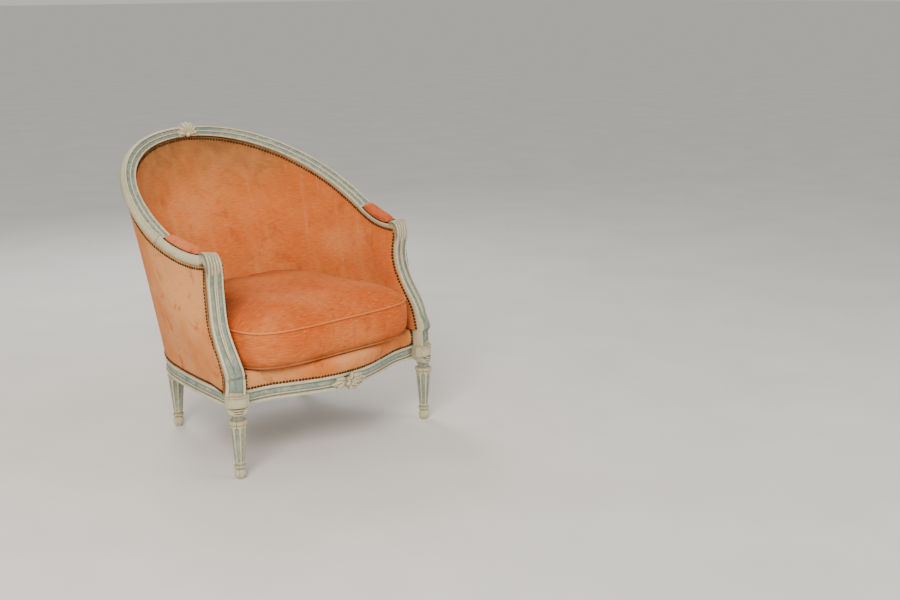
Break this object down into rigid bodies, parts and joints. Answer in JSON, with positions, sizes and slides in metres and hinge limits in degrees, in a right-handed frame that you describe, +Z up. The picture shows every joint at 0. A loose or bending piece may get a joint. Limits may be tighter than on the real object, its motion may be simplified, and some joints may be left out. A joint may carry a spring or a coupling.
{
  "type": "upholstered tub armchair",
  "caption": "Bergere tub armchair with a moulded painted frame that sweeps from the crest down to scrolled arms, fluted tapered legs, velvet upholstery and a loose box cushion.",
  "frame": {"origin": "middle of the bottom of the whole chair's bounding box, on the floor", "axes": "+Z up, the chair faces -Y, X = 0 is its plane of symmetry, +X is the side on the right as seen from the front"},
  "size_m": [0.7842, 0.8277, 0.89],
  "materials": {
    "painted_beech": "antiqued cream and grey-blue oil paint over gesso",
    "raw_beech": "planed, unfinished",
    "dowel_birch": "turned, glued",
    "screw_steel": "plain steel, slotted",
    "jute_webbing": "woven jute",
    "hessian": "plain woven jute",
    "horsehair": "curled hair stuffing",
    "feather_down": "feather and down in a ticking bag",
    "velvet_inside": "crushed cotton velvet",
    "velvet_outside": "crushed cotton velvet, faded",
    "velvet_pad": "crushed cotton velvet",
    "velvet_cushion": "crushed cotton velvet",
    "velvet_piping": "velvet cord"
  },
  "bodies": {
    "frame": {"front_leg_right": "painted_beech", "front_leg_left": "painted_beech", "rear_leg_right": "painted_beech", "rear_leg_left": "painted_beech", "front_rail": "painted_beech", "side_rail_right": "painted_beech", "side_rail_left": "painted_beech", "back_rail": "painted_beech", "arm_support_right": "painted_beech", "arm_support_left": "painted_beech", "arm_rail_right": "painted_beech", "arm_rail_left": "painted_beech", "crest_rail": "painted_beech", "crest_dowels": "dowel_birch", "arm_dowels": "dowel_birch", "corner_block_front_right": "raw_beech", "corner_block_front_left": "raw_beech", "corner_block_rear_right": "raw_beech", "corner_block_rear_left": "raw_beech", "corner_screws": "screw_steel", "tack_rail_back": "raw_beech", "tack_rail_side_right": "raw_beech", "tack_rail_side_left": "raw_beech", "seat_webbing_cross": "jute_webbing", "seat_webbing_long": "jute_webbing", "seat_hessian": "hessian", "seat_stuffing": "horsehair", "seat_cover": "velvet_inside", "seat_band": "velvet_inside", "back_webbing": "jute_webbing", "back_hessian": "hessian", "stuffing_arm_right": "horsehair", "stuffing_arm_left": "horsehair", "stuffing_back": "horsehair", "inside_cover": "velvet_inside", "outside_cover_side_right": "velvet_outside", "outside_cover_side_left": "velvet_outside", "outside_cover_back": "velvet_outside", "arm_pad_cover_right": "velvet_pad", "arm_pad_cover_left": "velvet_pad", "arm_pad_stuffing_right": "horsehair", "arm_pad_stuffing_left": "horsehair"},
    "seat_cushion": {"cushion_cover": "velvet_cushion", "cushion_filling": "feather_down", "cushion_piping_low": "velvet_piping", "cushion_piping_high": "velvet_piping"}
  },
  "joints": [
    {"name": "cushion_lift", "type": "slide", "parent": "frame", "child": "seat_cushion", "axis": [0, 0, 1], "range_m": [0, 0.62]}
  ]
}
